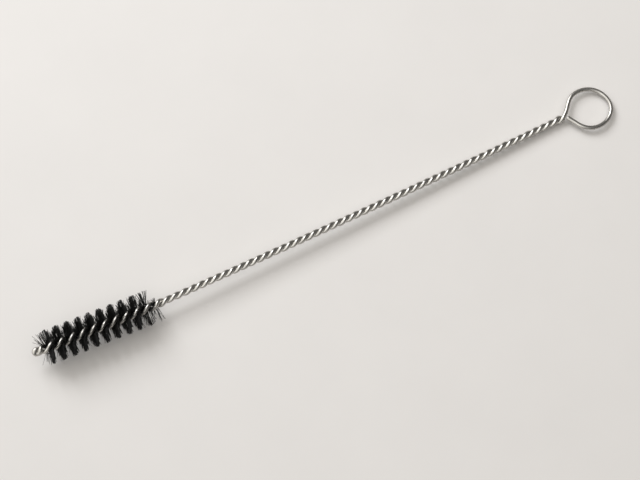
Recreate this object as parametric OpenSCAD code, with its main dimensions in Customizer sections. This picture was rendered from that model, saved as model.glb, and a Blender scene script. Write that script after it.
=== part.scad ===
// Test tube brush of twisted wire, lying on a table on its bristles and the end of its handle.
// One steel wire is folded at the tip. Its two legs are twisted together round straight nylon
// filaments, then twisted on by themselves into a handle. The shorter leg is cut at the neck and
// the longer one goes on into a ring. The stem runs along +X from tip to ring, +Z is up, and the
// origin is on the table under the middle of the brush.

/* [Wire] */
// Diameter of the steel wire
wire_d = 1.6; // [1.3:0.05:1.9]
// Clear gap between two lengths of wire that lie side by side
wire_gap = 0.04; // [0.02:0.01:0.1]

/* [Tip] */
// Eye left inside the fold at the tip
tip_eye_d = 0.25; // [0.1:0.05:1]
// Bare wire between the fold and the first bristle, over which the legs make nearly half a turn
tip_length = 3; // [2.8:0.1:6]

/* [Bristle head] */
// Diameter that the bristles are trimmed to
head_d = 12.3; // [8:0.1:24]
// Length of stem that holds bristles
head_length = 42; // [24:0.5:64]
// Length of one full turn of the wire in the head
head_pitch = 8.28; // [6.5:0.01:12]
// Diameter of one nylon filament
filament_d = 0.2; // [0.15:0.01:0.26]
// Clear gap between neighbouring filaments, and between filaments and wire
filament_gap = 0.03; // [0.02:0.01:0.06]
// Filaments that lie over one another between the two legs of the wire
filament_layers = 3; // [1:1:4]
// How far filaments splay to either side of the slot that grips them
splay_angle = 12; // [0:1:16]

/* [Handle] */
// Length of the twisted handle, from the last bristle to the neck of the ring
handle_length = 167.5; // [90:0.5:200]
// Length of one full turn of the wire in the handle
handle_pitch = 6.6; // [5.5:0.05:10]
// How far the middle of the handle is bowed off the straight line between its ends
handle_bow = 0.6; // [0:0.1:3]
// Angle by which the head is bent off the handle's line
head_bend = 2.5; // [0:0.5:6]

/* [Ring] */
// Clear opening of the ring
ring_inner_d = 13.8; // [9:0.1:20]
// Angle between the ring's middle line and the straight leg that leads into it from the stem
ring_leg_angle = 44; // [36:1:52]
// How far the ring is bent down from the stem, towards the table
ring_dip = 1; // [0:0.5:12]
// How far the ring's middle line is turned off the stem's, towards the cut end
ring_turn = 7; // [-6:1:12]
// Gap between the cut end of the ring and the leg that leads into it
ring_end_gap = 0.25; // [0.15:0.05:1]

/* [Hidden] */
// Corners of the swept wire section, and stations along each leg, round the fold and round the ring
wire_sides = 8;
leg_steps = 330;
fold_steps = 8;
ring_steps = 22;
// Length over which the twist sets in behind the fold, and the legs close up behind the head
twist_lead = 1.2;
close_up = 5;
// Length of stem over which the head is bent off the handle
bend_length = 10;
// A cut end is rounded off by this share of the wire's diameter, down to this share of its width
end_round = 0.22;
end_width = 0.62;
// Even scatter of the splay from one filament to the next
scatter = (sqrt(5) - 1) / 2;

// The head's slower twist starts and ends a little outside the bristles that it grips
slot_margin = wire_d / 3;
slot_start = tip_length - slot_margin;
head_end = tip_length + head_length;
slot_end = head_end + slot_margin;
slot_length = slot_end - slot_start;
stem_length = head_end + handle_length;

// Distance of each leg's centre from the stem's axis
tip_spread = (tip_eye_d + wire_d) / 2;
filament_step = filament_d + filament_gap;
fill_half = (filament_d + (filament_layers - 1) * filament_step) / 2;
head_spread = (wire_d / 2 + fill_half + 2 * filament_gap) / cos(splay_angle);
handle_spread = (wire_d + wire_gap) / 2;

// Twist in degrees. The handle's share is rounded so that the longer leg lies on top at the neck
tip_turn = 155;
head_turn = 360 * slot_length / head_pitch;
twist_length = stem_length - slot_end;
whole_turn = tip_turn + head_turn + 360 * twist_length / handle_pitch;
handle_turn = 180 * round((whole_turn - 90) / 180) + 90 - tip_turn - head_turn;

// In plan the head is straight, a short bend joins it to the handle, and the handle is a long arc.
// The tip and the neck lie on a line along X
bend_start = head_end - bend_length / 2;
bend_end = bend_start + bend_length;
handle_run = stem_length - bend_end;
handle_arc = 4 * atan(2 * handle_bow / handle_run);
tip_to_neck = stem_point(stem_length, 0);
tip_heading = -atan2(tip_to_neck.y, tip_to_neck.x);

// The ring's circle touches both its straight legs. One starts at the neck, and the other comes
// back to a cut end a little ahead of the neck
ring_r = (ring_inner_d + wire_d) / 2;
ring_reach = ring_r / sin(ring_leg_angle);
ring_leg = ring_r / tan(ring_leg_angle);
ring_end = (wire_d / 2 + ring_end_gap) / sin(ring_leg_angle);
end_leg_angle = asin(ring_r / (ring_reach - ring_end));
end_leg = ring_r / tan(end_leg_angle);
ring_heading = heading(stem_length) - ring_turn;
ring_down = -[sin(ring_dip) * cos(ring_heading), sin(ring_dip) * sin(ring_heading), cos(ring_dip)];

// Half turns of the head: each shows as one tuft and is one node
first_half_turn = round(twist(tip_length) / 180);
tuft_count = round(twist(head_end) / 180) - first_half_turn;
filament_count = floor(head_length / filament_step);

// The brush rests on the last bristles, and on the neck or the far end of the ring
ring_far = axis_point(stem_length) + ring_point(ring_reach + ring_r, 0);
neck_low = axis_point(stem_length) - [0, 0, handle_spread];
stem_slope = min(lying_slope(neck_low), lying_slope(ring_far));
rest_height = axis_point(head_end).x * sin(stem_slope) + head_d / 2 * cos(stem_slope);

// Middle of the brush in plan
fold_reach = tip_spread + wire_d / 2;
middle_x = (ring_far.x + wire_d / 2 - fold_reach) / 2;
first_y = axis_point(tip_length).y;
last_y = axis_point(head_end).y;
ring_y = axis_point(stem_length).y + ring_point(ring_reach, 0).y;
ring_half = ring_r + wire_d / 2;
near_y = min(min(first_y, last_y) - head_d / 2, ring_y - ring_half);
far_y = max(max(first_y, last_y) + head_d / 2, ring_y + ring_half);
middle_y = (near_y + far_y) / 2;

function tuft_name(i) = str("bristle_tuft_", i < 10 ? "0" : "", i);

function mix(a, b, t) = a + (b - a) * t;

// Goes from 0 to 1 with no corner at either end
function ease(t) = let (c = max(0, min(1, t))) c * c * (3 - 2 * c);

// Share of the way from a to b that has been gone at u
function share(u, a, b) = max(0, min(1, (u - a) / (b - a)));

// Offset from one end to the other of an arc between two directions in plan
function arc_step(from, to, run) = to == from
    ? run * [cos(from), sin(from), 0]
    : run * 180 / (PI * (to - from)) * [sin(to) - sin(from), cos(from) - cos(to), 0];

// Direction and point of the stem at a length from the fold, for a direction at the tip
function stem_way(u, from) =
    from + head_bend * share(u, bend_start, bend_end) + handle_arc * share(u, bend_end, stem_length);
function stem_point(u, from) =
    arc_step(from, from, min(u, bend_start))
    + arc_step(from, stem_way(min(u, bend_end), from), bend_length * share(u, bend_start, bend_end))
    + arc_step(stem_way(bend_end, from), stem_way(u, from), handle_run * share(u, bend_end, stem_length));

// The same where the brush lies
function heading(u) = stem_way(u, tip_heading);
function axis_point(u) = stem_point(u, tip_heading);
function along(u) = [cos(heading(u)), sin(heading(u)), 0];

// Slope at which the stem lies on its last bristles and on a piece of wire further along
function lying_slope(p) = let (run = p.x - axis_point(head_end).x, drop = head_d / 2 + p.z)
    acos(wire_d / 2 / norm([run, drop])) - atan2(run, drop);

// Twist made between the fold and a point on the stem. It sets in gently behind the fold
function set_in(u) = u < twist_lead ? u * u / (2 * twist_lead) : u - twist_lead / 2;
function twist(u) =
    u < slot_start ? tip_turn * set_in(u) / set_in(slot_start)
    : u < slot_end ? tip_turn + head_turn * (u - slot_start) / slot_length
    : tip_turn + head_turn + handle_turn * (u - slot_end) / twist_length;

// Left-hand lay: the longer leg turns from the near side over the top to the far side
function leg_angle(u) = 90 + twist(stem_length) - twist(u);
function outward(u) = let (a = leg_angle(u))
    [-sin(heading(u)) * cos(a), cos(heading(u)) * cos(a), sin(a)];
function spread(u) =
    u < slot_start ? mix(tip_spread, head_spread, ease(u / slot_start))
    : u < slot_end ? head_spread
    : mix(head_spread, handle_spread, ease((u - slot_end) / close_up));

// Offset from the stem's end to a point of the ring's plane, ahead and to the far side
function ring_point(ahead, aside) =
    [0, 0, handle_spread]
    + ahead * [cos(ring_dip) * cos(ring_heading), cos(ring_dip) * sin(ring_heading), -sin(ring_dip)]
    + aside * [-sin(ring_heading), cos(ring_heading), 0];
function first_leg_point(s) = ring_point(s * cos(ring_leg_angle), s * sin(ring_leg_angle));
function end_leg_point(s) = ring_point(ring_end + s * cos(end_leg_angle), -s * sin(end_leg_angle));

// A station of the wire: its centre, the way one corner of the section faces, and its width
function leg_station(u, side) =
    [axis_point(u) + side * spread(u) * outward(u), -side * outward(u), 1];
function fold_station(a) = let (way = cos(a) * outward(0) - sin(a) * along(0))
    [axis_point(0) + tip_spread * way, -way, 1];
function ring_station(offset, width = 1) = [axis_point(stem_length) + offset, ring_down, width];

// The wire from the short leg's cut end, back to the fold, along the long leg and round the ring
function wire_stations() = let (
    rounded = end_round * wire_d,
    last = stem_length - rounded,
    short_end = leg_station(stem_length, -1),
    arc_start = 90 + ring_leg_angle,
    arc_turn = arc_start + 90 + end_leg_angle
) concat(
    [[short_end[0], short_end[1], end_width]],
    [for (i = [leg_steps:-1:1]) leg_station(last * i / leg_steps, -1)],
    [for (i = [0:fold_steps]) fold_station(180 - 180 * i / fold_steps)],
    [for (i = [1:leg_steps]) leg_station(stem_length * i / leg_steps, 1)],
    [ring_station(first_leg_point(ring_leg / 3)), ring_station(first_leg_point(ring_leg * 2 / 3))],
    [for (i = [0:ring_steps]) let (a = arc_start - arc_turn * i / ring_steps)
        ring_station(ring_point(ring_reach + ring_r * cos(a), ring_r * sin(a)))],
    [ring_station(end_leg_point(end_leg / 2))],
    [ring_station(end_leg_point(rounded))],
    [ring_station(end_leg_point(0), end_width)]
);

function unit(v) = v / norm(v);

// Corners of the wire's section at one station, square to the way the wire runs there
function section(stations, i) = let (
    before = stations[max(i - 1, 0)][0],
    after = stations[min(i + 1, len(stations) - 1)][0],
    run = unit(after - before),
    facing = stations[i][1],
    first = unit(facing - (facing * run) * run),
    second = cross(run, first),
    r = wire_d / 2 * stations[i][2]
) [for (k = [0:wire_sides - 1]) let (a = 360 * k / wire_sides)
    stations[i][0] + r * (cos(a) * first + sin(a) * second)];

// Lays the brush, modelled along a level stem, down on its bristles and ring
module laid_down() {
    translate([-middle_x, -middle_y, rest_height])
        rotate([0, stem_slope, 0])
            children();
}

module twisted_wire() {
    stations = wire_stations();
    count = len(stations);
    corners = [for (i = [0:count - 1]) each section(stations, i)];
    skin = [for (i = [0:count - 2]) for (k = [0:wire_sides - 1]) let (
        a = i * wire_sides + k,
        b = i * wire_sides + (k + 1) % wire_sides
    ) each [[a, b + wire_sides, b], [a, a + wire_sides, b + wire_sides]]];
    start_cap = [for (k = [0:wire_sides - 1]) k];
    end_cap = [for (k = [wire_sides - 1:-1:0]) (count - 1) * wire_sides + k];
    color("silver")
        laid_down()
            polyhedron(corners, concat(skin, [start_cap, end_cap]));
}

// Stem length at which a filament sits, the half turn it belongs to, and how far it splays
function filament_at(k) = tip_length + (k + 0.5) * filament_step;
function tuft_of(k) = max(1, min(tuft_count, floor(twist(filament_at(k)) / 180) - first_half_turn + 1));
function splay(k) = splay_angle * (2 * (k * scatter - floor(k * scatter)) - 1);

module filament() {
    rotate([90, 0, 0])
        cylinder(h = head_d, d = filament_d, center = true, $fn = 16);
}

module bristle_tuft(i) {
    color([0.06, 0.06, 0.06])
        laid_down()
            for (k = [0:filament_count - 1])
                if (tuft_of(k) == i)
                    translate(axis_point(filament_at(k)))
                        rotate([0, 0, heading(filament_at(k))])
                            rotate([leg_angle(filament_at(k)) + 90 + splay(k), 0, 0])
                                for (layer = [0:filament_layers - 1])
                                    translate([0, 0, (layer - (filament_layers - 1) / 2) * filament_step])
                                        filament();
}

twisted_wire();
for (i = [1:tuft_count]) bristle_tuft(i);
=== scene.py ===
"""Test tube brush: the twisted steel wire and its nylon bristles, on a pale table in soft light."""

import math

import bmesh
import bpy
import numpy as np
from bpy.props import FloatProperty, FloatVectorProperty, IntProperty, PointerProperty
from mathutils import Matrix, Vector


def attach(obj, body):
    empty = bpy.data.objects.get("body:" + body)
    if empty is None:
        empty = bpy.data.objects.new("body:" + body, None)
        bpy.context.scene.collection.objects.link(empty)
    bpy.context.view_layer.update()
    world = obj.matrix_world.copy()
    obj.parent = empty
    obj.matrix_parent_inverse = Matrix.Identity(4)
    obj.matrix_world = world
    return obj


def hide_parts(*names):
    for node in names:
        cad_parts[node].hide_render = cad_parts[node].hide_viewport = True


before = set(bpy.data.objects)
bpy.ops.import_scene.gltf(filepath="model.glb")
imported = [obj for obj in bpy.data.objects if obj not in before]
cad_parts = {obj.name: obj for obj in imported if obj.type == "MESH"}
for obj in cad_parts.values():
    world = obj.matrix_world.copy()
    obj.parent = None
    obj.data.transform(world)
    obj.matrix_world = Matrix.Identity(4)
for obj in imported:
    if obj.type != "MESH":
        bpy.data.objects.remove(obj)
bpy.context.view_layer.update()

bl_info = {
    "name": "Test Tube Brush",
    "version": (1, 0, 0),
    "blender": (4, 5, 0),
    "location": "3D View > Sidebar > Brush",
    "description": "Twisted wire, bristles and a small stage for a test tube brush",
    "category": "Add Mesh",
}

# Settings of the wire. All lengths in this file are in metres.
BEND_HALF = 0.005  # half the length of the bend between head and handle
TWIST_LEAD = 0.0012  # length over which the twist sets in after the fold
CLOSING = 0.005  # length over which the legs close behind the head
PARTING_START = 0.005  # where the legs begin to part, before the neck
PARTING = 0.004  # length over which they part
LEG_STEPS = 640
FOLD_STEPS = 25
FIRST_LEG_STEPS = 25
RING_STEPS = 150
END_LEG_STEPS = 20
NECK_ROUNDS = 6  # how often the corner at the neck is smoothed
NECK_REACH = 6  # how many points either way that smooths
END_ROUND = 0.22  # length of a rounded end, in wire diameters
END_WIDTH = 0.6  # width left at a rounded end
END_CLEAR = 1.3  # how far from an end its old points go, in lengths of the rounded end
END_NEAR = 8  # how many points from an end are looked at for that
END_RUN = (0.0, 0.35, 0.7, 0.9, 1.0)  # where the rounded end's new points lie
FOLD_REACH = 0.0026  # how far from the fold the wire is squeezed
FOLD_FADE = 0.0016  # length over which that ends
FOLD_DRAW = 0.28  # how far the fold is drawn in
FOLD_THICKEN = 0.3  # how much thicker it gets
FOLD_LIMIT = 0.006  # how far from the fold the wire is turned
# The groove's dark is painted shade, laid on the wire where the twisted legs shade each other.
GROOVE_RISE = 0.36  # how high the dark of the groove reaches up a leg's flank
GROOVE_FADE = 0.45  # how much of the flank it takes to end
GROOVE_START = 0.0015  # where the groove begins, from the fold
RING_BOW_START = 0.0015  # length over which the ring's bows set in after the neck
# Bows of the ring: distance from the neck along the wire, reach either way and size outwards.
RING_BOWS = (
    (0.0018, 0.0022, -0.00018),
    (0.0076, 0.0046, 0.00050),
    (0.0273, 0.0048, 0.00046),
    (0.0518, 0.0050, 0.00062),
)

# Settings of the bristles.
SEED = 7
SIDES = 5  # sides of a filament
CUTS = 7  # cuts that let a filament bend
# Sparse zones at the tip and the handle: length of the zone and share of the filaments that it lacks.
SPARSE_TIP = ((0.0022, 0.4), (0.0010, 0.95))
SPARSE_HANDLE = ((0.0068, 0.35), (0.0026, 0.82))
STRAY = 1  # mark of a filament out of line
LOOSE = 2  # mark of a loose end
LOOSE_TIP = (0, 0.0007)  # where loose ends sit, from the first bristle
LOOSE_HANDLE = (-0.0004, 0.0008)  # and from the last one
LOOSE_SPLAY = math.radians(-36)  # most that a loose end is turned about the stem
LOOSE_LEAST = 0.15  # least share of that splay
LOOSE_SHORTER = 0.12  # most that a loose end is shorter
LOOSE_FAN = 0.6  # share of the fan that loose ends beyond the last bristle have
STRAY_SPLAY = 1.5  # strays beside other filaments: how much more they splay
STRAY_LEAN = 2.6  # lean
STRAY_BEND = 1.5  # bend, for each step of the mark
STRAY_THICK = 0.72  # and how thick they are
CLEARANCE = 0.00001  # left between a filament and the wire
TIP_FAN_LENGTH = 0.0017  # how far from the first bristle the fan at the tip reaches
HANDLE_FAN_LENGTH = 0.0028  # and the one at the handle, from the last bristle
FAN_MOST = 1.3  # most of its fan that a filament gets
TRIM = (1.0, 1.06)  # length of a filament either way, in head radii
SHORT_LENGTH = 0.0024  # where the last bristles are short on the far side
SHORT_TRIM = 0.45  # how short they are
LEAN_MOST = 0.26  # most that a filament leans, in radians
FRAY_START = 0.0085  # where fraying begins, before the last bristle
FRAY_FADE = 0.003  # length over which it sets in
BEND_ASIDE = 0.00016  # typical bend at a filament's end, to the side
BEND_ALONG = 0.0002  # and along the stem
THICK = (0.9, 1.1)  # how thick a filament is against the set size
SHADE_POWER = 1.5  # makes dark filaments the more common ones
TOP_POWER = 4  # keeps the sweep of the top to bristles that stand nearly upright
FLOOR_GAP = 0.00003  # least height above the table

# Settings of the stage.
TABLE_SIZE = 8.0
WINDOW_AT = (-0.202, 0.826, 0.729)
WINDOW_TINT = (1.0, 0.995, 1.0)
FILL_WAY = (-0.05, 0.2, 0.98)  # where the soft light comes from
FILL_ANGLES = (0.4, 1.0)  # cosines between which it rises
FILL_SHARES = (0.05, 1.0)  # and its levels there
MIRROR_WAY = (-0.785, 0.183, 0.592)  # the bright side of the room that metal sees
MIRROR_ANGLES = (0.40, 0.80)
MIRROR_LEVELS = (0.15, 1.62)
BACKDROP = 0.78  # level of the room that the camera sees
CAMERA_TARGET = (-0.00481, -0.00274, 0.0)
SENSOR_WIDTH = 36
CLIP_START = 0.01


def length(name, description, metres):
    """A property that holds a length in metres."""
    return FloatProperty(name=name, description=description, default=metres, unit="LENGTH", precision=5)


def angle(name, description, degrees):
    """A property that holds an angle, given here in degrees."""
    return FloatProperty(name=name, description=description, default=math.radians(degrees), unit="ROTATION")


def colour(name, description, rgb):
    """A property that holds a linear colour."""
    return FloatVectorProperty(
        name=name, description=description, default=rgb, subtype="COLOR", size=3, min=0, max=1
    )


def tally(name, description, number):
    """A property that holds a whole number."""
    return IntProperty(name=name, description=description, default=number, min=0)


class WireSizes(bpy.types.PropertyGroup):
    """Sizes of the folded and twisted wire: the solids' own, but for a tighter grip and a steeper neck."""

    wire_d: length("Wire diameter", "Diameter of the steel wire", 0.0016)
    wire_gap: length("Wire gap", "Clear gap between two lengths of wire side by side", 0.00004)
    tip_eye_d: length("Tip eye", "Eye left inside the fold at the tip", 0.00025)
    tip_length: length("Tip length", "Bare wire between the fold and the first bristle", 0.003)
    tip_turn: angle("Tip turn", "Twist that the legs make before the first bristle", 155)
    grip_gap: length("Grip gap", "Gap between the legs that the bristles are gripped in", 0.00036)
    fold_turn: angle("Fold turn", "Further turn of the fold about the stem", 40)
    head_length: length("Head length", "Length of stem that holds bristles", 0.042)
    head_pitch: length("Head pitch", "Length of one full turn in the head", 0.00828)
    handle_length: length("Handle length", "Length from the last bristle to the neck of the ring", 0.16805)
    handle_pitch: length("Handle pitch", "Length of one full turn in the handle", 0.0066)
    pressed: length("Pressed", "How far each leg is pressed towards the other in the handle", 0.00022)
    handle_bow: length("Handle bow", "How far the handle's middle is bowed off the straight line", 0.0006)
    head_bend: angle("Head bend", "Angle by which the head is bent off the handle's line", 2.5)
    ring_inner_d: length("Ring opening", "Clear opening of the ring", 0.0138)
    ring_leg_angle: angle("Ring leg angle", "Angle of the straight leg that leads into the ring", 47)
    ring_dip: angle("Ring dip", "How far the ring is bent down from the stem", 1)
    ring_turn: angle("Ring turn", "How far the ring is turned towards its cut end", 7)
    ring_end_gap: length("Ring end gap", "Gap between the ring's cut end and the leg beside it", 0.00025)
    ring_cut: length("Ring cut", "How much shorter than it could be the ring's end is cut", 0.00035)
    bright: colour("Bright steel", "Colour of the clean drawn wire", (0.56, 0.545, 0.515))
    dull: colour("Dull steel", "Colour of the wire where it is dulled", (0.41, 0.395, 0.37))
    streak: colour("Streak", "Colour of the draw lines", (0.33, 0.32, 0.30))
    # Painted shade: the colour that darkens the wire deep between the twisted legs, where they shade each
    # other.
    groove_shade: colour("Groove", "Colour deep between the twisted legs", (0.06, 0.055, 0.05))


class BristleSizes(bpy.types.PropertyGroup):
    """Sizes of the nylon bristles."""

    head_d: length("Head diameter", "Diameter that the bristles are trimmed to", 0.0123)
    filament_d: length("Filament diameter", "Diameter of one nylon filament", 0.00018)
    filaments: tally("Filaments", "Filaments in the whole head before its ends are thinned", 1200)
    strays: tally("Strays", "Filaments that stand out of line", 110)
    loose_ends: tally("Loose ends", "Thin loose filaments at each end", 12)
    splay: angle("Splay", "Most that a filament splays about the slot that grips it", 7.5)
    jitter: angle("Jitter", "Typical lean of a filament along the stem", 2.2)
    sweep: angle("Sweep", "Lean of the bristles along the stem, opposite on the two sides", 4)
    top_sweep: angle("Top sweep", "Lean towards the tip of the bristles that stand up", 7)
    tip_tilt: angle("Tip tilt", "Tilt of the first bristles, to the tip on the far side", 15)
    tip_fan: angle("Tip fan", "Lean of the first bristles towards the tip", 9)
    handle_fan: angle("Handle fan", "Lean of the last bristles towards the handle", 10)
    fray: angle("Fray", "Typical lean of the last bristles on the far side", 9)
    dark: colour("Dark nylon", "Colour of the darkest filaments", (0.003, 0.003, 0.0032))
    light: colour("Light nylon", "Colour of the lightest filaments", (0.014, 0.0137, 0.0133))


class StageSizes(bpy.types.PropertyGroup):
    """Table, light and camera."""

    table: colour("Table", "Colour of the pale table", (0.80, 0.792, 0.780))
    key_power: FloatProperty(
        name="Key power", description="Power of the window light", default=8.3, unit="POWER"
    )
    key_size: length("Key size", "Width of the window light", 0.61)
    fill: FloatProperty(name="Fill", description="Level of the soft light overhead", default=1.19)
    fill_tint: colour("Fill tint", "Tint of the soft light overhead", (1.0, 0.957, 0.905))
    mirror_tint: colour("Mirror tint", "Tint of the room that metal sees", (1.0, 0.985, 0.955))
    camera_azimuth: angle("Camera azimuth", "Direction of the camera round the brush", -25.27)
    camera_elevation: angle("Camera elevation", "Height of the camera above the table", 74)
    camera_distance: length("Camera distance", "Distance from the camera to its target", 0.65)
    camera_lens: FloatProperty(name="Lens", description="Focal length in millimetres", default=99.29)


def ease(t):
    """Goes from 0 to 1 with no corner at either end."""
    c = np.clip(t, 0, 1)
    return c * c * (3 - 2 * c)


class Stem:
    """Line of the stem, twist of its two legs and its place on the table. Lengths run from the fold."""

    def __init__(self, wire, bristles):
        self.wire_d = wire.wire_d
        self.head_r = bristles.head_d / 2
        self.tip_length = wire.tip_length
        self.tip_turn = wire.tip_turn
        self.stem_to_head_end = wire.tip_length + wire.head_length
        self.slot_start = wire.tip_length - wire.wire_d / 3
        self.slot_end = self.stem_to_head_end + wire.wire_d / 3
        self.length = self.stem_to_head_end + wire.handle_length
        self.tip_spread = (wire.tip_eye_d + wire.wire_d) / 2
        self.head_spread = (wire.grip_gap + wire.wire_d) / 2
        self.handle_spread = (wire.wire_gap + wire.wire_d) / 2
        self.pressed = wire.pressed
        self.head_turn = math.tau * (self.slot_end - self.slot_start) / wire.head_pitch
        rest = self.length - self.slot_end
        whole = self.tip_turn + self.head_turn + math.tau * rest / wire.handle_pitch
        quarter = math.pi / 2
        self.whole_turn = math.pi * round((whole - quarter) / math.pi) + quarter
        self.handle_turn = self.whole_turn - self.tip_turn - self.head_turn
        self.bend_start = self.stem_to_head_end - BEND_HALF
        self.bend_end = self.stem_to_head_end + BEND_HALF
        self.head_bend = wire.head_bend
        self.handle_arc = 4 * math.atan(2 * wire.handle_bow / (self.length - self.bend_end))
        self.tip_heading = 0.0
        chord = self.axis(self.length)
        self.tip_heading = -math.atan2(chord[1], chord[0])
        self.ring_r = (wire.ring_inner_d + wire.wire_d) / 2
        self.ring_leg_angle = wire.ring_leg_angle
        self.ring_dip = wire.ring_dip
        self.ring_cut = wire.ring_cut
        self.ring_reach = self.ring_r / math.sin(wire.ring_leg_angle)
        self.ring_end = (wire.wire_d / 2 + wire.ring_end_gap) / math.sin(wire.ring_leg_angle)
        self.end_leg_angle = math.asin(self.ring_r / (self.ring_reach - self.ring_end))
        self.ring_heading = float(self.heading(self.length)) - wire.ring_turn
        self.neck = self.axis(self.length)
        self._lie_down()

    def _lie_down(self):
        """Finds the slope and the place at which the brush lies on its last bristles and its neck or ring."""
        far = self.ring_point(self.ring_reach + self.ring_r, 0.0)
        low = self.neck - np.array([0, 0, self.handle_spread])
        head = self.axis(self.stem_to_head_end)
        slopes = []
        for point in (low, far):
            run = point[0] - head[0]
            drop = self.head_r + point[2]
            slopes.append(math.acos(self.wire_d / 2 / math.hypot(run, drop)) - math.atan2(run, drop))
        self.slope = min(slopes)
        height = head[0] * math.sin(self.slope) + self.head_r * math.cos(self.slope)
        head_y = self.axis(np.array([self.tip_length, self.stem_to_head_end]))[:, 1]
        ring_y = self.ring_point(self.ring_reach, 0.0)[1]
        half = self.ring_r + self.wire_d / 2
        near = min(head_y.min() - self.head_r, ring_y - half)
        away = max(head_y.max() + self.head_r, ring_y + half)
        middle_x = (far[0] + self.wire_d / 2 - self.tip_spread - self.wire_d / 2) / 2
        self.place = np.array([-middle_x, -(near + away) / 2, height])

    def heading(self, u):
        """Direction of the stem in plan: a straight head, a short bend and the handle's long arc."""
        u = np.asarray(u, float)
        bent = np.clip((u - self.bend_start) / (self.bend_end - self.bend_start), 0, 1)
        run = np.clip((u - self.bend_end) / (self.length - self.bend_end), 0, 1)
        return self.tip_heading + self.head_bend * bent + self.handle_arc * run

    def axis(self, u):
        """Point of the stem's axis."""
        u = np.asarray(u, float)
        point = np.zeros(u.shape + (3,))
        cuts = (-1.0, self.bend_start, self.bend_end, self.length)
        for start, end in zip(cuts, cuts[1:]):
            start = max(start, 0.0)
            run = np.clip(u, start, end) - start
            first = self.heading(start)
            half = (self.heading(start + run) - first) / 2
            step = run * np.sinc(half / math.pi)
            point[..., 0] += step * np.cos(first + half)
            point[..., 1] += step * np.sin(first + half)
        return point

    def along(self, u):
        """Direction of the stem."""
        h = self.heading(u)
        return np.stack([np.cos(h), np.sin(h), np.zeros_like(h)], -1)

    def across(self, u, turn):
        """Direction square to the stem, turned from the far side up."""
        h = self.heading(u)
        return np.stack([-np.sin(h) * np.cos(turn), np.cos(h) * np.cos(turn), np.sin(turn)], -1)

    def twist(self, u):
        """Twist made between the fold and a point on the stem."""
        u = np.asarray(u, float)

        def set_in(t):
            return np.where(t < TWIST_LEAD, t * t / (2 * TWIST_LEAD), t - TWIST_LEAD / 2)

        tip = self.tip_turn * set_in(u) / set_in(np.array(self.slot_start))
        head = self.tip_turn + self.head_turn * (u - self.slot_start) / (self.slot_end - self.slot_start)
        handle = self.tip_turn + self.head_turn
        handle = handle + self.handle_turn * (u - self.slot_end) / (self.length - self.slot_end)
        return np.where(u < self.slot_start, tip, np.where(u < self.slot_end, head, handle))

    def leg_turn(self, u):
        """Angle of the longer leg about the stem. It lies on top at the neck."""
        return math.pi / 2 + self.whole_turn - self.twist(u)

    def spread(self, u):
        """Distance of each leg from the stem's axis."""
        u = np.asarray(u, float)
        tip = self.tip_spread + (self.head_spread - self.tip_spread) * ease(u / self.slot_start)
        closing = ease((u - self.slot_end) / CLOSING)
        parting = ease((u - self.length + PARTING_START) / PARTING)
        handle = self.handle_spread - self.pressed * (1 - parting)
        handle = self.head_spread + (handle - self.head_spread) * closing
        return np.where(u < self.slot_start, tip, np.where(u < self.slot_end, self.head_spread, handle))

    def leg(self, u, side):
        """Centre of the longer leg, side 1, or of the shorter leg, side -1."""
        return self.axis(u) + side * self.spread(u)[..., None] * self.across(u, self.leg_turn(u))

    def ring_point(self, ahead, aside):
        """Point of the ring's plane, ahead of the neck and to the far side."""
        ahead = np.asarray(ahead, float)[..., None]
        aside = np.asarray(aside, float)[..., None]
        c = math.cos(self.ring_heading)
        s = math.sin(self.ring_heading)
        dip = self.ring_dip
        forward = np.array([math.cos(dip) * c, math.cos(dip) * s, -math.sin(dip)])
        start = self.neck + np.array([0, 0, self.handle_spread])
        return start + ahead * forward + aside * np.array([-s, c, 0])

    def lay(self, points):
        """Lays points down from the level stem to the table."""
        c = math.cos(self.slope)
        s = math.sin(self.slope)
        x = points[..., 0] * c + points[..., 2] * s
        z = points[..., 2] * c - points[..., 0] * s
        return np.stack([x, points[..., 1], z], -1) + self.place

    def pick_up(self, points):
        """Takes points from the table back to the level stem."""
        p = points - self.place
        c = math.cos(self.slope)
        s = math.sin(self.slope)
        x = p[..., 0] * c - p[..., 2] * s
        z = p[..., 2] * c + p[..., 0] * s
        return np.stack([x, p[..., 1], z], -1)


def wire_route(stem):
    """Points along the wire, from the short leg's cut end to the ring's, and its width at each point."""
    down = np.linspace(stem.length, 0, LEG_STEPS, endpoint=False)
    fold = np.linspace(math.pi, 0, FOLD_STEPS)[:, None]
    way = np.cos(fold) * stem.across(0.0, stem.leg_turn(0.0)) - np.sin(fold) * stem.along(0.0)
    up = np.linspace(0, stem.length, LEG_STEPS + 1)[1:]
    first_leg = np.linspace(0, stem.ring_r / math.tan(stem.ring_leg_angle), FIRST_LEG_STEPS)[1:-1]
    start = math.pi / 2 + stem.ring_leg_angle
    arc = np.linspace(start, -math.pi / 2 - stem.end_leg_angle, RING_STEPS)
    end_leg = np.linspace(stem.ring_r / math.tan(stem.end_leg_angle), stem.ring_cut, END_LEG_STEPS)[1:]
    ahead = np.concatenate([
        first_leg * math.cos(stem.ring_leg_angle),
        stem.ring_reach + stem.ring_r * np.cos(arc),
        stem.ring_end + end_leg * math.cos(stem.end_leg_angle),
    ])
    aside = np.concatenate([
        first_leg * math.sin(stem.ring_leg_angle),
        stem.ring_r * np.sin(arc),
        -end_leg * math.sin(stem.end_leg_angle),
    ])
    route = np.concatenate([
        stem.leg(down, -1),
        stem.axis(0.0) + stem.tip_spread * way,
        stem.leg(up, 1),
        stem.ring_point(*bow_ring(ahead, aside)),
    ])
    neck = LEG_STEPS + FOLD_STEPS + LEG_STEPS
    for _ in range(NECK_ROUNDS):
        part = route[neck - NECK_REACH - 1:neck + NECK_REACH + 1]
        route[neck - NECK_REACH:neck + NECK_REACH] = (part[:-2] + 2 * part[1:-1] + part[2:]) / 4
    return round_ends(route, stem.wire_d)


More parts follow.
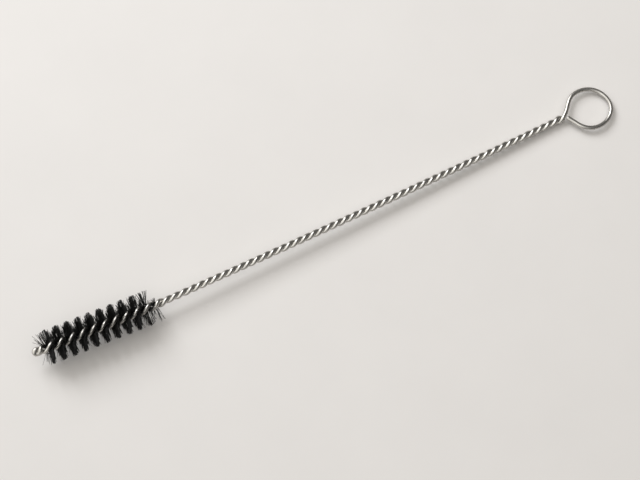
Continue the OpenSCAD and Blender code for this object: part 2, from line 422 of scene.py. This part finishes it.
def bow_ring(ahead, aside):
    """Bows the ring's outline as bending by hand leaves it."""
    run = np.r_[0, np.cumsum(np.hypot(np.diff(ahead), np.diff(aside)))]
    out = np.zeros_like(run)
    for middle, reach, size in RING_BOWS:
        out += size * np.exp(-((run - middle) / reach) ** 2)
    out *= ease(run / RING_BOW_START)
    return ahead - out * np.gradient(aside, run), aside + out * np.gradient(ahead, run)


def round_ends(route, wire_d):
    """Adds points that round off the two cut ends, and gives the width at every point."""
    over = wire_d * END_ROUND
    steps = np.array(END_RUN)
    widths = END_WIDTH + (1 - END_WIDTH) * np.sqrt(1 - steps ** 2)
    keep = np.ones(len(route), bool)
    for end, rest in ((route[0], slice(1, END_NEAR)), (route[-1], slice(-END_NEAR, -1))):
        near = np.linalg.norm(route[rest] - end, axis=1) < over * END_CLEAR
        keep[rest][near] = False
    keep[0] = False
    keep[-1] = False
    body = route[keep]
    head_way = (route[0] - body[0]) / np.linalg.norm(route[0] - body[0])
    tail_way = (route[-1] - body[-1]) / np.linalg.norm(route[-1] - body[-1])
    head = route[0] + head_way * over * (steps[::-1, None] - 1)
    tail = route[-1] + tail_way * over * (steps[:, None] - 1)
    points = np.concatenate([head, body, tail])
    width = np.concatenate([widths[::-1], np.ones(len(body)), widths])
    return points, width


def squeeze_fold(stem, points, width, fold_turn):
    """Draws the tight fold in, thickens its wire as bending does, and turns it about the stem."""
    start = stem.axis(0.0)
    near = ease((FOLD_REACH - np.linalg.norm(points - start, axis=1)) / FOLD_FADE)
    along = stem.along(0.0)
    off = points - start
    ahead = np.maximum(off @ along, 0)[:, None] * along
    points = points - FOLD_DRAW * near[:, None] * (off - ahead)
    off = points - start
    turn = fold_turn * (1 - ease((off @ along + stem.tip_spread) / (stem.slot_start + stem.tip_spread)))
    turn = np.where(np.linalg.norm(off, axis=1) < FOLD_LIMIT, turn, 0.0)[:, None]
    ahead = (off @ along)[:, None] * along
    off = off - ahead
    points = start + ahead + off * np.cos(turn) + np.cross(along, off) * np.sin(turn)
    return points, width * (1 + FOLD_THICKEN * near)


def select_only(piece):
    """Leaves one object selected and active."""
    bpy.ops.object.select_all(action="DESELECT")
    piece.select_set(True)
    bpy.context.view_layer.objects.active = piece


def add_node(tree, kind, place, **values):
    """Adds a shader node and sets its inputs and settings by name."""
    item = tree.nodes.new(kind)
    item.location = place
    for name, value in values.items():
        key = name.replace("_", " ").title()
        if key in item.inputs:
            item.inputs[key].default_value = value
        else:
            setattr(item, name, value)
    return item


def new_material(name):
    """An empty node material with its output and its main shader."""
    material = bpy.data.materials.new(name)
    material.use_nodes = True
    tree = material.node_tree
    tree.nodes.clear()
    output = add_node(tree, "ShaderNodeOutputMaterial", (900, 0))
    shader = add_node(tree, "ShaderNodeBsdfPrincipled", (600, 0))
    tree.links.new(shader.outputs["BSDF"], output.inputs["Surface"])
    return material, tree, shader


def mix_colours(tree, place, low, high, factor):
    """A mix of two colours or colour sockets, whose factor comes from another socket."""
    mix = tree.nodes.new("ShaderNodeMix")
    mix.location = place
    mix.data_type = "RGBA"
    for socket, value in ((mix.inputs[6], low), (mix.inputs[7], high)):
        if isinstance(value, bpy.types.NodeSocket):
            tree.links.new(value, socket)
        else:
            socket.default_value = (*value, 1)
    tree.links.new(factor, mix.inputs[0])
    return mix.outputs[2]


def remap(tree, place, value, from_range, to_range):
    """A linear change of range, held at its ends."""
    item = add_node(tree, "ShaderNodeMapRange", place)
    item.inputs[1].default_value = from_range[0]
    item.inputs[2].default_value = from_range[1]
    item.inputs[3].default_value = to_range[0]
    item.inputs[4].default_value = to_range[1]
    tree.links.new(value, item.inputs[0])
    return item.outputs[0]


def drawn_steel(sizes):
    """Bright wire with fine draw lines along it, dulled in patches, with painted shade deep in the twist."""
    material, tree, shader = new_material("drawn_steel")
    shader.inputs["Metallic"].default_value = 1.0
    links = tree.links
    place = add_node(tree, "ShaderNodeTexCoord", (-1100, 0))
    patches = add_node(tree, "ShaderNodeTexNoise", (-800, 200), scale=420.0, detail=4.0, roughness=0.6)
    links.new(place.outputs["Object"], patches.inputs["Vector"])
    stretch = add_node(tree, "ShaderNodeMapping", (-950, -250))
    stretch.inputs["Scale"].default_value = (90.0, 46.0, 1.0)
    links.new(place.outputs["UV"], stretch.inputs["Vector"])
    lines = add_node(tree, "ShaderNodeTexNoise", (-750, -250), scale=1.0, detail=5.0, roughness=0.65)
    links.new(stretch.outputs["Vector"], lines.inputs["Vector"])
    deep = add_node(tree, "ShaderNodeAttribute", (-750, -550), attribute_name="groove_shade")
    dulled = remap(tree, (-500, 200), patches.outputs["Fac"], (0.42, 0.68), (0.0, 0.85))
    base = mix_colours(tree, (-250, 250), sizes.bright, sizes.dull, dulled)
    streak = remap(tree, (-500, -100), lines.outputs["Fac"], (0.35, 0.65), (0.0, 0.22))
    base = mix_colours(tree, (-50, 200), base, sizes.streak, streak)
    # Painted shade deep between the twisted legs, darker the deeper the point lies.
    base = mix_colours(tree, (150, 150), base, sizes.groove_shade, deep.outputs["Fac"])
    links.new(base, shader.inputs["Base Color"])
    rough = remap(tree, (-250, -50), patches.outputs["Fac"], (0.35, 0.7), (0.22, 0.38))
    more = add_node(tree, "ShaderNodeMath", (50, -150), operation="MULTIPLY_ADD")
    links.new(deep.outputs["Fac"], more.inputs[0])
    more.inputs[1].default_value = 0.35
    links.new(rough, more.inputs[2])
    links.new(more.outputs[0], shader.inputs["Roughness"])
    bump = add_node(tree, "ShaderNodeBump", (300, -300), strength=0.12, distance=0.00003)
    links.new(lines.outputs["Fac"], bump.inputs["Height"])
    links.new(bump.outputs["Normal"], shader.inputs["Normal"])
    return material


def black_nylon(sizes):
    """Black filaments, each a little lighter or darker, with a soft shine that varies along them."""
    material, tree, shader = new_material("black_nylon")
    links = tree.links
    shader.inputs["Specular IOR Level"].default_value = 0.22
    shade = add_node(tree, "ShaderNodeAttribute", (-700, 200), attribute_name="shade")
    base = mix_colours(tree, (-300, 200), sizes.dark, sizes.light, shade.outputs["Fac"])
    links.new(base, shader.inputs["Base Color"])
    place = add_node(tree, "ShaderNodeTexCoord", (-900, -100))
    mottle = add_node(tree, "ShaderNodeTexNoise", (-700, -100), scale=1500.0, detail=3.0)
    links.new(place.outputs["Object"], mottle.inputs["Vector"])
    rough = remap(tree, (-300, -100), mottle.outputs["Fac"], (0.3, 0.7), (0.38, 0.56))
    links.new(rough, shader.inputs["Roughness"])
    bump = add_node(tree, "ShaderNodeBump", (200, -300), strength=0.15, distance=0.00001)
    links.new(mottle.outputs["Fac"], bump.inputs["Height"])
    links.new(bump.outputs["Normal"], shader.inputs["Normal"])
    return material


def pale_table(sizes):
    """Smooth pale board with a faint mottle."""
    material, tree, shader = new_material("pale_table")
    links = tree.links
    shader.inputs["Roughness"].default_value = 0.9
    shader.inputs["Specular IOR Level"].default_value = 0.02
    place = add_node(tree, "ShaderNodeTexCoord", (-900, 0))
    mottle = add_node(tree, "ShaderNodeTexNoise", (-700, 100), scale=26.0, detail=5.0, roughness=0.6)
    links.new(place.outputs["Object"], mottle.inputs["Vector"])
    fine = add_node(tree, "ShaderNodeTexNoise", (-700, -200), scale=900.0, detail=3.0)
    links.new(place.outputs["Object"], fine.inputs["Vector"])
    darker = tuple(c * 0.975 for c in sizes.table)
    tone = remap(tree, (-450, 100), mottle.outputs["Fac"], (0.3, 0.7), (0.0, 1.0))
    links.new(mix_colours(tree, (-200, 100), sizes.table, darker, tone), shader.inputs["Base Color"])
    bump = add_node(tree, "ShaderNodeBump", (200, -300), strength=0.05, distance=0.00005)
    links.new(fine.outputs["Fac"], bump.inputs["Height"])
    links.new(bump.outputs["Normal"], shader.inputs["Normal"])
    return material


class BRUSH_OT_twisted_wire(bpy.types.Operator):
    """Runs one round wire along the fold, the two twisted legs and the hanging ring"""

    bl_idname = "brush.twisted_wire"
    bl_label = "Twisted Wire"

    def execute(self, context):
        sizes = context.scene.brush_wire
        stem = Stem(sizes, context.scene.brush_bristles)
        route, width = wire_route(stem)
        route, width = squeeze_fold(stem, route, width, sizes.fold_turn)
        route = stem.lay(route)
        bpy.ops.object.select_all(action="DESELECT")
        bpy.ops.curve.primitive_nurbs_path_add(location=(0, 0, 0))
        path = context.object
        path.data.splines.clear()
        spline = path.data.splines.new("POLY")
        spline.points.add(len(route) - 1)
        spline.points.foreach_set("co", np.c_[route, np.ones(len(route))].ravel())
        spline.points.foreach_set("radius", width)
        path.data.dimensions = "3D"
        path.data.bevel_depth = sizes.wire_d / 2
        path.data.bevel_resolution = 8
        path.data.use_fill_caps = True
        select_only(path)
        bpy.ops.object.convert(target="MESH")
        wire = context.object
        wire.name = "wire"
        bpy.ops.object.mode_set(mode="EDIT")
        bpy.ops.mesh.select_all(action="SELECT")
        bpy.ops.mesh.remove_doubles(threshold=0.000002)
        bpy.ops.mesh.normals_make_consistent(inside=False)
        bpy.ops.object.mode_set(mode="OBJECT")
        bpy.ops.object.shade_smooth_by_angle(angle=math.radians(50))
        if not wire.data.uv_layers:
            raise RuntimeError("the wire has no UV map for its draw lines")
        self.mark_groove_shade(wire.data, stem)
        wire.data.materials.clear()
        wire.data.materials.append(drawn_steel(sizes))
        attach(wire, "root")
        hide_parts("twisted_wire")
        return {"FINISHED"}

    def mark_groove_shade(self, mesh, stem):
        """Marks how deep each point lies between the twisted legs, for the painted shade there."""
        points = np.empty(len(mesh.vertices) * 3)
        mesh.vertices.foreach_get("co", points)
        level = stem.pick_up(points.reshape(-1, 3))
        u = np.clip(level[:, 0], 0, stem.length)
        off = np.hypot(level[:, 1] - stem.axis(u)[:, 1], level[:, 2])
        spread = stem.spread(u)
        radius = stem.wire_d / 2
        valley = np.sqrt(np.maximum(radius ** 2 - spread ** 2, 0))
        flank = spread + radius - valley
        depth = ease((valley + GROOVE_RISE * flank - off) / (GROOVE_FADE * flank))
        depth[(level[:, 0] > stem.length) | (level[:, 0] < GROOVE_START)] = 0
        groove_shade = mesh.attributes.new("groove_shade", "FLOAT", "POINT")
        groove_shade.data.foreach_set("value", depth)


class BRUSH_OT_bristles(bpy.types.Operator):
    """Grips a head of fine nylon filaments between the legs of the wire, one piece for each half turn"""

    bl_idname = "brush.bristles"
    bl_label = "Bristles"

    def execute(self, context):
        wire = context.scene.brush_wire
        sizes = context.scene.brush_bristles
        stem = Stem(wire, sizes)
        rng = np.random.default_rng(SEED)
        corners, faces = self.filament(context)
        nylon = black_nylon(sizes)
        first = round(float(stem.twist(stem.tip_length)) / math.pi)
        names = sorted(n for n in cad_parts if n.startswith("bristle_tuft_"))
        grown = self.grow(stem, wire, sizes, rng)
        tuft = np.floor(stem.twist(grown["u"]) / math.pi).astype(int) - first + 1
        tuft = np.clip(tuft, 1, len(names))
        for number, name in enumerate(names, 1):
            own = tuft == number
            if not own.any():
                raise RuntimeError(f"no filaments for {name}")
            part = {key: value[own] for key, value in grown.items()}
            piece = self.plant(stem, sizes, part, corners, faces, f"bristles_{number:02d}")
            piece.data.materials.append(nylon)
            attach(piece, "root")
            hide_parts(name)
        return {"FINISHED"}

    def filament(self, context):
        """Models one straight filament, cut into short lengths, and returns its corners and faces."""
        bpy.ops.object.select_all(action="DESELECT")
        bpy.ops.mesh.primitive_cylinder_add(vertices=SIDES, radius=1, depth=2, end_fill_type="NGON")
        piece = context.object
        bpy.ops.object.mode_set(mode="EDIT")
        shape = bmesh.from_edit_mesh(piece.data)
        for edge in shape.edges:
            edge.select_set(abs(edge.verts[0].co.z - edge.verts[1].co.z) > 1)
        bmesh.update_edit_mesh(piece.data)
        bpy.ops.mesh.subdivide(number_cuts=CUTS)
        bpy.ops.object.mode_set(mode="OBJECT")
        corners = np.array([v.co[:] for v in piece.data.vertices])
        faces = [list(p.vertices) for p in piece.data.polygons]
        bpy.ops.object.delete()
        return corners, faces

    def grow(self, stem, wire, sizes, rng):
        """Chooses where each filament sits and how it leans and bends."""
        n = sizes.filaments
        first = stem.tip_length
        last = stem.stem_to_head_end
        even = first + wire.head_length * (np.arange(n) + rng.uniform(0, 1, n)) / n
        thin = np.zeros(n)
        for reach, share in SPARSE_TIP:
            thin = np.where(even < first + reach, share, thin)
        for reach, share in SPARSE_HANDLE:
            thin = np.where(even > last - reach, share, thin)
        even = even[rng.uniform(0, 1, n) >= thin]
        odd = first + wire.head_length * rng.uniform(0, 1, sizes.strays)
        loose_tip = first + rng.uniform(*LOOSE_TIP, sizes.loose_ends)
        loose_handle = last + rng.uniform(*LOOSE_HANDLE, sizes.loose_ends)
        u = np.r_[even, odd, loose_tip, loose_handle]
        count = len(u)
        stray = np.repeat([0.0, STRAY, LOOSE], [len(even), len(odd), 2 * sizes.loose_ends])
        loose = stray == LOOSE
        splay = sizes.splay * rng.uniform(-1, 1, count)
        splay = np.where(stray == STRAY, splay * STRAY_SPLAY, splay)
        splay = np.where(loose, LOOSE_SPLAY * rng.uniform(LOOSE_LEAST, 1, count), splay)
        room = stem.spread(u) * np.cos(splay) - stem.wire_d / 2 - sizes.filament_d / 2 - CLEARANCE
        to_tip = np.clip(1 - (u - first) / TIP_FAN_LENGTH, 0, 1)
        to_handle = np.clip(1 - (last - u) / HANDLE_FAN_LENGTH, 0, 1)
        fan = np.tan(sizes.handle_fan * to_handle * rng.uniform(0, FAN_MOST, count))
        fan = fan - np.tan(sizes.tip_fan * to_tip * rng.uniform(0, FAN_MOST, count))
        wild = (1 + STRAY_BEND * stray)[:, None]
        turn = stem.leg_turn(u) + math.pi / 2 + splay
        trim = rng.uniform(*TRIM, (count, 2))
        trim = trim - LOOSE_SHORTER * loose[:, None] * rng.uniform(0, 1, (count, 2))
        behind = np.stack([np.cos(turn) > 0, np.cos(turn) <= 0], 1)
        trim = np.where(behind & (u > last - SHORT_LENGTH)[:, None], trim * SHORT_TRIM, trim)
        lean = rng.normal(0, sizes.jitter, count) * np.where(stray > 0, STRAY_LEAN, 1.0)
        frayed = np.clip((u - last + FRAY_START) / FRAY_FADE, 0, 1)
        return {
            "u": u,
            "turn": turn,
            "shift": rng.uniform(-1, 1, count) * np.maximum(room, 0),
            "lean": np.tan(lean.clip(-LEAN_MOST, LEAN_MOST)),
            "tilt": np.tan(sizes.sweep - sizes.tip_tilt * to_tip),
            "fan": fan * np.where(loose & (u > last), LOOSE_FAN, 1.0),
            "fray": np.tan(rng.normal(0, sizes.fray, count)) * frayed,
            "trim": trim,
            "bend_side": rng.normal(0, BEND_ASIDE, (count, 2)) * wild,
            "bend_along": rng.normal(0, BEND_ALONG, (count, 2)) * wild,
            "thick": sizes.filament_d / 2 * np.where(stray > 0, STRAY_THICK, rng.uniform(*THICK, count)),
            "shade": rng.uniform(0, 1, count) ** SHADE_POWER,
        }

    def plant(self, stem, sizes, part, corners, faces, name):
        """Copies the filament to each place, bent and trimmed, as one piece."""
        u = part["u"]
        count = len(u)
        along = stem.along(u)[:, None, :]
        way = stem.across(u, part["turn"])[:, None, :]
        side = stem.across(u, part["turn"] + math.pi / 2)[:, None, :]
        z = corners[None, :, 2]
        far = z > 0
        half = np.where(far, part["trim"][:, :1], part["trim"][:, 1:])
        out = z * half * stem.head_r
        bow = z * z
        bend_side = np.where(far, part["bend_side"][:, :1], part["bend_side"][:, 1:]) * bow
        bend_along = np.where(far, part["bend_along"][:, :1], part["bend_along"][:, 1:]) * bow
        swept = part["tilt"][:, None] * way[:, :, 1] * out
        up = np.maximum(way[:, :, 2] * np.sign(z), 0) ** TOP_POWER
        swept = swept - math.tan(sizes.top_sweep) * up * np.abs(out)
        beyond = np.maximum(way[:, :, 1] * np.sign(z), 0)
        swept = swept + part["fray"][:, None] * beyond * np.abs(out)
        forward = out * part["lean"][:, None] + np.abs(out) * part["fan"][:, None] + bend_along + swept
        thick = part["thick"][:, None, None]
        points = stem.axis(u)[:, None, :] + out[..., None] * way + forward[..., None] * along
        points = points + (part["shift"][:, None] + bend_side)[..., None] * side
        points = points + thick * (corners[None, :, :1] * side + corners[None, :, 1:2] * along)
        points = stem.lay(points)
        points[..., 2] = np.maximum(points[..., 2], FLOOR_GAP)
        step = len(corners)
        all_faces = [[i + k * step for i in face] for k in range(count) for face in faces]
        mesh = bpy.data.meshes.new(name)
        mesh.from_pydata(points.reshape(-1, 3).tolist(), [], all_faces)
        shade = mesh.attributes.new("shade", "FLOAT", "POINT")
        shade.data.foreach_set("value", np.repeat(part["shade"], step))
        mesh.polygons.foreach_set("use_smooth", [len(face) == 4 for face in all_faces])
        mesh.update()
        piece = bpy.data.objects.new(name, mesh)
        bpy.context.collection.objects.link(piece)
        return piece


class BRUSH_OT_stage(bpy.types.Operator):
    """Sets up the pale table, the window light, the soft light overhead and the camera"""

    bl_idname = "brush.stage"
    bl_label = "Stage"

    def execute(self, context):
        sizes = context.scene.brush_stage
        bpy.ops.object.select_all(action="DESELECT")
        bpy.ops.mesh.primitive_plane_add(size=TABLE_SIZE, location=(0, 0, 0))
        table = context.object
        table.name = "table"
        table.data.materials.append(pale_table(sizes))
        self.window_light(context, sizes)
        self.room(context, sizes)
        self.camera(context, sizes)
        context.scene.view_settings.view_transform = "Standard"
        return {"FINISHED"}

    def window_light(self, context, sizes):
        """A soft light from the far left, low enough to throw the shadow clear of the stem."""
        away = Vector(WINDOW_AT)
        bpy.ops.object.light_add(type="AREA", location=away)
        light = context.object
        light.name = "window_light"
        light.rotation_euler = away.to_track_quat("Z", "Y").to_euler()
        light.data.shape = "SQUARE"
        light.data.size = sizes.key_size
        light.data.energy = sizes.key_power
        light.data.color = WINDOW_TINT

    def room(self, context, sizes):
        """A soft fill from overhead and the far side. Metal sees a dim room that is brighter on the left."""
        world = bpy.data.worlds.new("room")
        context.scene.world = world
        world.use_nodes = True
        tree = world.node_tree
        tree.nodes.clear()
        links = tree.links
        output = add_node(tree, "ShaderNodeOutputWorld", (700, 0))
        back = add_node(tree, "ShaderNodeBackground", (500, 0))
        links.new(back.outputs["Background"], output.inputs["Surface"])
        way = add_node(tree, "ShaderNodeTexCoord", (-700, 100))
        level = self.toward(tree, way, (-500, 300), FILL_WAY, FILL_ANGLES, FILL_SHARES)
        fill = add_node(tree, "ShaderNodeMath", (-100, 300), operation="MULTIPLY")
        links.new(level, fill.inputs[0])
        fill.inputs[1].default_value = sizes.fill
        seen = self.toward(tree, way, (-500, 0), MIRROR_WAY, MIRROR_ANGLES, MIRROR_LEVELS)
        ray = add_node(tree, "ShaderNodeLightPath", (-500, -300))
        glossy = ray.outputs["Is Glossy Ray"]
        tint = mix_colours(tree, (300, 250), sizes.fill_tint, sizes.mirror_tint, glossy)
        links.new(tint, back.inputs["Color"])
        mirror = add_node(tree, "ShaderNodeMix", (100, 0))
        links.new(glossy, mirror.inputs[0])
        links.new(fill.outputs[0], mirror.inputs[2])
        links.new(seen, mirror.inputs[3])
        backdrop = add_node(tree, "ShaderNodeMix", (300, 0))
        links.new(ray.outputs["Is Camera Ray"], backdrop.inputs[0])
        links.new(mirror.outputs[0], backdrop.inputs[2])
        backdrop.inputs[3].default_value = BACKDROP
        links.new(backdrop.outputs[0], back.inputs["Strength"])

    def toward(self, tree, way, place, direction, from_range, to_range):
        """A level that rises towards one direction of the room."""
        dot = add_node(tree, "ShaderNodeVectorMath", place, operation="DOT_PRODUCT")
        tree.links.new(way.outputs["Generated"], dot.inputs[0])
        dot.inputs[1].default_value = Vector(direction).normalized()
        return remap(tree, (place[0] + 200, place[1]), dot.outputs["Value"], from_range, to_range)

    def camera(self, context, sizes):
        """Looks down on the brush from the near left."""
        target = Vector(CAMERA_TARGET)
        level = math.cos(sizes.camera_elevation)
        away = Vector((
            math.sin(sizes.camera_azimuth) * level,
            -math.cos(sizes.camera_azimuth) * level,
            math.sin(sizes.camera_elevation),
        ))
        bpy.ops.object.camera_add(location=target + away * sizes.camera_distance)
        camera = context.object
        camera.rotation_euler = away.to_track_quat("Z", "Y").to_euler()
        camera.data.lens = sizes.camera_lens
        camera.data.sensor_width = SENSOR_WIDTH
        camera.data.clip_start = CLIP_START
        context.scene.camera = camera


class BRUSH_PT_panel(bpy.types.Panel):
    """Lists the brush's pieces in the sidebar"""

    bl_idname = "BRUSH_PT_panel"
    bl_label = "Test Tube Brush"
    bl_space_type = "VIEW_3D"
    bl_region_type = "UI"
    bl_category = "Brush"

    def draw(self, context):
        for kind in (BRUSH_OT_stage, BRUSH_OT_twisted_wire, BRUSH_OT_bristles):
            self.layout.operator(kind.bl_idname)


groups = {"brush_wire": WireSizes, "brush_bristles": BristleSizes, "brush_stage": StageSizes}
classes = (*groups.values(), BRUSH_OT_twisted_wire, BRUSH_OT_bristles, BRUSH_OT_stage, BRUSH_PT_panel)


def register():
    """Registers the classes and hangs the property groups on the scene."""
    for kind in classes:
        bpy.utils.register_class(kind)
    for name, kind in groups.items():
        setattr(bpy.types.Scene, name, PointerProperty(type=kind))


def unregister():
    """Takes the property groups and the classes away again."""
    for name in groups:
        delattr(bpy.types.Scene, name)
    for kind in reversed(classes):
        bpy.utils.unregister_class(kind)


def main():
    """Builds the brush and its stage."""
    register()
    bpy.ops.brush.stage()
    bpy.ops.brush.twisted_wire()
    bpy.ops.brush.bristles()


if __name__ == "__main__":
    main()
